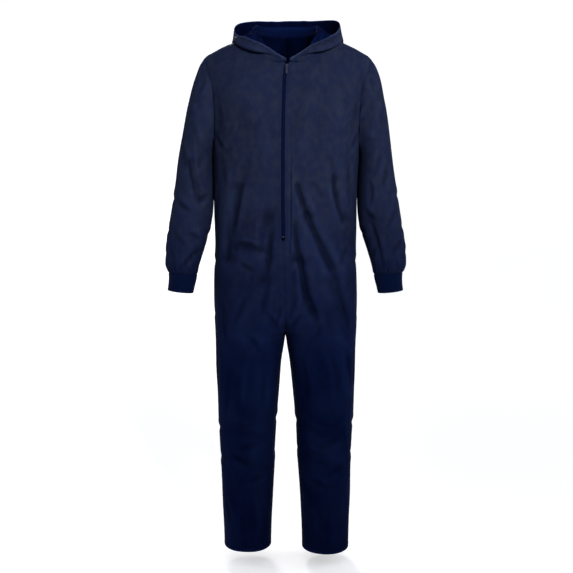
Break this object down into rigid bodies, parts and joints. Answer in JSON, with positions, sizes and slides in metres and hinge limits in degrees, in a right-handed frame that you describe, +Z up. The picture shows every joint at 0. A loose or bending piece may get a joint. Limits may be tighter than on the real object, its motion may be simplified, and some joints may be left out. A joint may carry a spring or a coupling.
{
  "type": "hooded onesie pajama",
  "caption": "Adult one-piece hooded pajama, zipped at the front, filled out as when worn, with the hood lying back, long sleeves with ribbed cuffs and straight open legs.",
  "frame": {"origin": "between the shoulders, level with the back neck seam, on the plane of the shoulder and side seams", "axes": "+Z up along the wearer's body, -Y out of the front, +X to the wearer's left"},
  "size_m": [0.708, 0.3178, 1.6044],
  "materials": {
    "velour_fleece": "short brushed nap, soft and matt",
    "rib_knit": "fine vertical rib, matt",
    "woven_tape": "close herringbone weave, matt",
    "zip_coil": "moulded coil, satin",
    "zip_metal": "dark plated, satin"
  },
  "bodies": {
    "garment": {"front_left": "velour_fleece", "front_right": "velour_fleece", "back_left": "velour_fleece", "back_right": "velour_fleece", "sleeve_left": "velour_fleece", "sleeve_right": "velour_fleece", "cuff_left": "rib_knit", "cuff_right": "rib_knit", "hood_left": "velour_fleece", "hood_right": "velour_fleece", "neck_tape": "woven_tape", "zip_tape_left": "woven_tape", "zip_tape_right": "woven_tape", "zip_chain": "zip_coil", "zip_stop": "zip_metal", "zip_slider": "zip_metal"},
    "pull": {"zip_pull": "zip_metal"}
  },
  "joints": [
    {"name": "pull_hinge", "type": "hinge", "parent": "garment", "child": "pull", "pos_m": [0.00037, -0.11574, -0.10242], "axis": [-1, 0, 0], "range_deg": [0, 150]}
  ]
}
